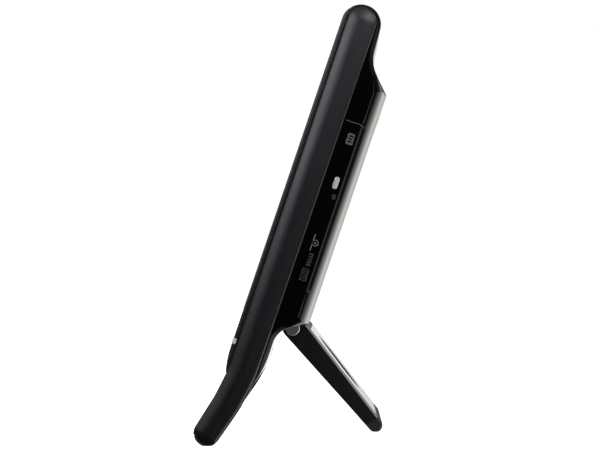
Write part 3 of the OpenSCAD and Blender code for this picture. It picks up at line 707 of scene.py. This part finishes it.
# Height up the case, and how much of a profile's rear shape the arm's rear edge has there
REAR_EDGE = [(72, 0.3), (100, 1), (300, 1), (332.5, 0.35)]
EDGE_STOPS = [72, 86, 100, 300, 312]
LONG_SIDE = 100


def arm_outline(corners, d=0.0):
    """The arm's outline, with a few points more on its long sides where its edge changes."""
    ring = rounded(inset(corners, d))
    outline = []
    for p, q in zip(ring, ring[1:] + ring[:1]):
        outline.append(p)
        if abs(q.y - p.y) > LONG_SIDE:
            stops = EDGE_STOPS if q.y > p.y else EDGE_STOPS[::-1]
            outline += [p.lerp(q, (u - p.y) / (q.y - p.y)) for u in stops]
    return outline


def arm_rings(corners, profile, side):
    """The arm's outline at each row of a profile, between its front and its rear shape."""
    outer = arm_outline(corners)
    facing = [(p - q).normalized() for p, q in zip(outer, arm_outline(corners, 2))]
    rearward = [max(0, f.x) * along(REAR_EDGE, p.y) for f, p in zip(facing, outer)]
    rings = []
    for d, front_x, rear_x in profile:
        ring = []
        for p, rear in zip(arm_outline(corners, d), rearward):
            x = front_x + (rear_x - front_x) * rear
            p = tucked(p, d)
            ring.append((side * (ARM_OUT + x), p.x, p.y))
        rings.append(ring)
    return rings


def foot_pad(side):
    """The crescent of rubber round a leg's end, flat where it rests on the floor."""
    below = [p for p in rounded(ARM_CORNERS, 2) if p.y < PAD_TOP - 0.3]
    first, last = (below[0] - PAD_CENTRE), (below[-1] - PAD_CENTRE)
    start, turn = atan2(last.y, last.x), bend(last, first)
    inner = [PAD_CENTRE + Matrix.Rotation(start + turn * k / PAD_STEPS, 2) @ Vector((PAD_INNER + 0.06, 0))
             for k in range(PAD_STEPS + 1)]
    return rested(softened(slab(below + inner, side * ARM_IN, side * (ARM_OUT - 0.6)), 0.35, 2, 50), CASE)


def side_arm(side, name):
    """An arm on one side: its body, its cap and the pad of its leg."""
    node = f"{name}_side_arm"
    body = lofted(arm_rings(ARM_CORNERS, BODY_PROFILE, side))
    to_piece(f"{name}_arm_body", body, CASE, "side_satin", stands_for=[node])
    to_piece(f"{name}_arm_cap", lofted(arm_rings(CAP_CORNERS, CAP_PROFILE, side)), CASE, "side_satin",
             stands_for=[node], smooth=50)
    to_piece(f"{name}_leg_pad", foot_pad(side), Matrix.Identity(4), "pad_rubber",
             stands_for=[f"{name}_foot_pad"])


# ---- The tray's door, with its button and its printed marks

def side_x(v):
    """How far out the case's side is at depth v, where it rounds towards the rear."""
    past = max(0, v - (CASE_D - SIDE_R))
    return HALF_W - SIDE_R + sqrt(SIDE_R ** 2 - past ** 2)


DOOR_FRONT, DOOR_BACK = 25.25, 190.2
DOOR_CORNERS = [
    (DOOR_FRONT, DOOR_U[0], 0.5), (DOOR_V[1], DOOR_U[0], 3.6), (DOOR_V[1], DOOR_U[1], 3.6),
    (DOOR_FRONT, DOOR_U[1], 0.5)]
# Each row: distance in from the edge, and the drop at the door's ends
DOOR_SKIN = [(0, 0.9), (0.05, 0.7), (0.2, 0.45), (0.5, 0.14), (0.8, 0.02)]
DOOR_SKIN += [(d, 0) for d in (1.5, 3, 4.5, 6, 7.2)]
PILL_U, PILL_V, PILL_R = (204.95, 210.45), 33.85, 1.85
# Each row: how much the button's outline grows, and how far out along x
PILL_SKIN = [(0, 188.1), (0, 192.75), (-0.05, 192.92), (-0.18, 193.04), (-0.5, 193.09), (-1.5, 193.1)]


def door_outline(d=0.0):
    """The door's outline, made smaller all round by d."""
    return rounded(inset(DOOR_CORNERS, d), 8)


def pill_ring(grow, x):
    """The eject button's outline at x, made larger all round by grow."""
    return [(x, v, u) for v, u in round_ended(PILL_V, PILL_R + grow, PILL_U, 12)]


def tray_door():
    """The door's panel, rounded over at its two ends, with holes for its button, its light and a pin."""
    rings = [[(x, p.x, p.y) for p in door_outline(d)] for d, x in ((0.3, DOOR_BACK), (0, DOOR_BACK + 0.3))]
    outer = door_outline()
    facing = [p - q for p, q in zip(outer, door_outline(1))]
    endward = [min(1, abs(f.y)) if p.x > DOOR_FRONT + 1 else 0 for f, p in zip(facing, outer)]
    rings += [[(side_x(p.x) - end * share, p.x, p.y) for p, share in zip(door_outline(d), endward)]
              for d, end in DOOR_SKIN]
    button_hole = lofted([pill_ring(g, x) for g, x in ((0.16, 188), (0.16, 192.8), (0.4, 193.2))])
    light_hole = rounded_box((34, 37), (195.8, 199.6), 0.3, 188, 195)
    pin_hole = turned([(0.7, 188), (0.7, 195)], (0, 30.5, 182), "x", 20)
    panel = combined(lofted(rings), [button_hole, light_hole, pin_hole])
    to_piece("door_panel", panel, CASE, "door_gloss", "tray", ["tray_door"])


def eject_pill():
    """The eject button's rounded cap."""
    button = lofted([pill_ring(g, x) for g, x in PILL_SKIN])
    to_piece("eject_pill", button, CASE, "button_silver", "eject_button", ["eject_button"])


PRINT = 0.03


def printed(name, outlines, look="printed_mark", lift=0.0):
    """Flat marks on the door: each outline holds (v, u) points."""
    marks = [slab(outline, HALF_W - 0.05, HALF_W + PRINT + lift) for outline in outlines]
    to_piece(name, join(*marks), CASE, "door_gloss", "tray", look=look)


def box_outline(v0, v1, u0, u1, r=0.3):
    """A rounded rectangle's outline."""
    return rounded([(v0, u0, r), (v1, u0, r), (v1, u1, r), (v0, u1, r)], 15)


def ring_marks(v, u, r_out, r_in, pieces=24):
    """A ring made of short straight outlines."""
    marks = []
    for k in range(pieces):
        a, b = 2 * pi * k / pieces, 2 * pi * (k + 1) / pieces
        corners = ((r_out, a), (r_out, b), (r_in, b), (r_in, a))
        marks.append([(v + r * cos(t), u + r * sin(t)) for r, t in corners])
    return marks


def door_marks():
    """The generic marks printed on the door, from the top down."""
    printed("upper_label", [box_outline(30.9, 36, 236.7, 245, 0.8)])
    printed("upper_label_bars", [box_outline(32, 35, u, u + 1.1) for u in (238.4, 240.4, 242.4)],
            "door_gloss", 0.02)
    printed("disc_symbol", ring_marks(33.7, 162.2, 2.4, 1.9) + ring_marks(33.7, 162.2, 0.9, 0.45, 16)
            + [box_outline(31.4, 32.1, 156, 168.3, 0.2)], "printed_bright")
    printed("small_bars", [box_outline(32.2 + 0.25 * (k % 2), 35.4, 145 + 2 * k, 146.3 + 2 * k, 0.2)
                           for k in range(5)], "printed_dim")
    frame_bars = [box_outline(30.9, 31.5, 133.7, 143, 0.2), box_outline(35.4, 36, 133.7, 143, 0.2),
                  box_outline(31.5, 35.4, 133.7, 134.3, 0.1), box_outline(31.5, 35.4, 142.4, 143, 0.1)]
    grid = [box_outline(32.1 + 1.2 * i, 32.9 + 1.2 * i, 135.2 + 1.75 * k, 136.4 + 1.75 * k, 0.2)
            for i in range(3) for k in range(4)]
    printed("lower_label", frame_bars + grid, "printed_dim")


# ---- The stand, in its own axes

STAND_HALF, PLATE_HALF = 71, 68
BARREL_R, TIP_R, TIP_H, CREST_S = 7.9, 5.55, 5, 4.3
BACK_H = TIP_H + TIP_R
FOOT_FLAT, FOOT_S, PLATE_S = 0.35, 94.5, (9, 93)
stand_fall = STAND_DROP + LEAN
TIP_S = (hinge_at.z / MM - TIP_R + FOOT_FLAT + TIP_H * cos(stand_fall)) / sin(stand_fall)


def crossing(p, a, q, b):
    """Where two straight lines cross, each given by a point on it and its direction."""
    away = q - p
    return p + a * (away.x * b.y - away.y * b.x) / (a.x * b.y - a.y * b.x)


def stand_corners():
    """The corners of the stand's side outline: its barrel, its tip and the crest of its back."""
    slope = atan2(TIP_H, TIP_S) + asin((BARREL_R - TIP_R) / hypot(TIP_S, TIP_H))
    turn = atan2(BACK_H, CREST_S) + acos(BARREL_R / hypot(CREST_S, BACK_H))
    under, way = BARREL_R * Vector((sin(slope), -cos(slope))), Vector((cos(slope), sin(slope)))
    crest = Vector((CREST_S, BACK_H))
    barrel = crossing(under, way, crest, Vector((-sin(turn), cos(turn))))
    tip = crossing(under, way, crest, Vector((1, 0)))
    return [(*barrel, BARREL_R), (*tip, TIP_R), (*crest, 1.6)]


# Each row: how far the outline is drawn in along the back and below, and the distance in from the end
STAND_EDGE = [(1.6, 0.5, 0), (1.45, 0.4, 0.1), (0.12, 0.05, 1.4), (0, 0, 1.6)]
# The wide bevel of the back fades in from one height up, over another
BEVEL_FROM, BEVEL_BLEND = 2, 6


def stand_form():
    """The whole stand, with a wide bevel along its back edges and a narrow one below."""
    rings = []
    corners = stand_corners()
    for back, below, x in STAND_EDGE:
        ring = []
        for p, q in zip(rounded(inset(corners, back)), rounded(inset(corners, below))):
            t = min(1, max(0, (p.y - BEVEL_FROM) / BEVEL_BLEND))
            r = q.lerp(p, t)
            ring.append((r.x, r.y))
        rings.append((STAND_HALF - x, ring))
    whole = [[(-x, s, h) for s, h in ring] for x, ring in rings]
    whole += [[(x, s, h) for s, h in ring] for x, ring in reversed(rings)]
    return lofted(whole)


# Wider than the stand
BEYOND = (-80, 80)
PIN_ROOM_R = 3.06


def stand_shell():
    """The stand's moulded arm, hollowed under its back plate and bored for the hinge pin."""
    cuts = [stand_box(BEYOND, (FOOT_S - 0.1, 130), (-20, 30)),
            stand_box((-PLATE_HALF, PLATE_HALF), PLATE_S, (BACK_H - 2, 30)),
            stand_box((-64, 64), (14, 88), (2.3, 20)),
            drum(BEYOND, PIN_ROOM_R, (0, 0), 32)]
    to_piece("stand_shell", combined(stand_form(), cuts), STAND, "stand_matt", "stand", ["stand_leg"])


def stand_toe():
    """The rubber end of the stand, with a tongue that reaches up into the arm."""
    toe = combined(stand_form(), [stand_box(BEYOND, (FOOT_S, 130), (-20, 30))], "INTERSECT")
    tongue = stand_box((-62.8, 62.8), (FOOT_S - 4, FOOT_S + 0.5), (3.2, 7))
    to_piece("stand_toe", rested(join(toe, tongue), STAND), Matrix.Identity(4), "pad_rubber", "stand",
             ["stand_foot"])


DISH_R, DISH_DEEP, DISH_S = 27, 4, 45.4
DISH_STEPS = 14


def stand_back():
    """The gloss plate let into the stand's back, with a round dish for a finger."""
    top = BACK_H - 0.05
    half, low, high = PLATE_HALF - 0.15, PLATE_S[0] + 0.15, PLATE_S[1] - 0.15
    outline = [(-half, low, 1), (half, low, 1), (half, high, 1), (-half, high, 1)]
    plate = lofted([[(p.x, p.y, h) for p in rounded(inset(outline, d), 15)]
                    for d, h in ((0, BACK_H - 2), (0, top - 0.4), (0.12, top - 0.1), (0.4, top))])
    backing = [(DISH_R + 1.5, top - DISH_DEEP - 1), (DISH_R + 1.5, BACK_H - 1.9)]
    # The dish is part of a sphere, with a soft rim
    sphere = (DISH_R ** 2 + DISH_DEEP ** 2) / (2 * DISH_DEEP)
    dish = [(DISH_R + 1.2, top + 5), (DISH_R + 1.2, top + 0.35), (DISH_R + 0.5, top + 0.04),
            (DISH_R - 0.1, top - 0.12)]
    for k in range(DISH_STEPS - 1, 0, -1):
        r = DISH_R * k / DISH_STEPS
        dish.append((r, top + sphere - DISH_DEEP - sqrt(sphere ** 2 - r ** 2)))
    backing, dish = [lofted([[(r * cos(t), DISH_S + r * sin(t), h) for t in turns(96)] for r, h in profile])
                     for profile in (backing, dish)]
    whole = combined(combined(plate, [backing], "UNION"), [dish])
    to_piece("stand_back", whole, STAND, "stand_gloss", "stand", ["stand_back_plate"])


# ---- Hinge lugs, keys, screws and the front's small parts

LUG_X = (71.5, 75.5)
LUG_PROFILE = [(4.9, LUG_X[0]), (5.5, LUG_X[0] + 0.6), (5.5, LUG_X[1] - 0.7), (5.3, LUG_X[1] - 0.25),
               (4.9, LUG_X[1])]
LUG_NECK = [(HINGE_V + 3.6, HINGE_U + 3.9), (28, 111.5), (CHASSIS_V, 128), (CHASSIS_V, 100), (20, 100),
            (HINGE_V - 4.6, HINGE_U + 2.2)]


def hinge_lugs():
    """The two lugs that hold the hinge pin: an eye, a neck and a foot on the chassis."""
    lugs = []
    for side in (-1, 1):
        at = (0, HINGE_V, HINGE_U)
        eye = turned([(r, side * x) for r, x in LUG_PROFILE], at, "x", 72)
        neck = slab(LUG_NECK, side * LUG_X[0], side * (LUG_X[1] - 0.1))
        foot = block((side * LUG_X[0], side * (LUG_X[1] + 12)), (CHASSIS_V, CHASSIS_V + 2), (100, 128))
        hole = turned([(3.03, side * 70), (3.03, side * 75.4)], at, "x", 40)
        lugs.append(combined(combined(eye, [neck, foot], "UNION"), [hole]))
    to_piece("hinge_eyes", join(*lugs), CASE, "lug_metal", stands_for=["hinge_lugs"])


KEY_NAMES = ["power", "menu", "previous", "next", "play"]
# Radius and depth, from the stem that meets the switch, over the flange, to the dished face
KEY_PROFILE = [
    (1.4, 40.9), (1.4, 43), (4, 43), (4, 44), (5.4, 44), (5.4, 45.6), (4, 45.6), (4, 47.5), (3.9, 47.8),
    (3.6, 47.97), (3.2, 48), (2, 47.85), (0.05, 47.8)]


def keys():
    """The five round keys on the rear."""
    for x, name in zip(KEY_X, KEY_NAMES):
        to_piece(f"{name}_key_cap", turned(KEY_PROFILE, (x, 0, KEY_U)), CASE, "key_plastic", f"{name}_key",
                 [f"{name}_button"])


# Radius and depth, from the screw's end to its domed head
SCREW_PROFILE = [(1.5, 9.8), (1.5, 45.4), (2.8, 45.4), (2.8, 46.3), (2.4, 46.8), (1.6, 47), (0.05, 47)]


def case_screws():
    """The cross-headed screws that hold the cover."""
    screws = []
    for x, u in CASE_POSTS:
        screw = turned(SCREW_PROFILE, (x, 0, u), count=32)
        cross = [block((x - a, x + a), (45.9, 48), (u - b, u + b)) for a, b in ((1.7, 0.35), (0.35, 1.7))]
        screws.append(combined(screw, cross))
    to_piece("case_screw_set", join(*screws), CASE, "screw_black", stands_for=["case_screws"])


def trim_bar():
    """The metal strip across the front, in its groove."""
    strip = softened(block((-HALF_W, HALF_W), (-0.3, 2.65), (74.95, 79.15)), 0.25, 2)
    to_piece("trim_bar", strip, CASE, "trim_metal", stands_for=["trim_strip"])


def cover_pane():
    """The clear pane behind the window."""
    edge = 3.2
    pane = block((-VIEW_W / 2 - edge, VIEW_W / 2 + edge), (1.3, 2.9), (VIEW_LOW - edge, VIEW_TOP + edge))
    to_piece("cover_pane", softened(pane, 0.15, 1), CASE, "clear_pane", stands_for=["display_pane"])


rear_cover()
front_bezel()
side_arm(1, "right")
side_arm(-1, "left")
tray_door()
eject_pill()
door_marks()
stand_shell()
stand_toe()
stand_back()
hinge_lugs()
keys()
case_screws()
trim_bar()
cover_pane()
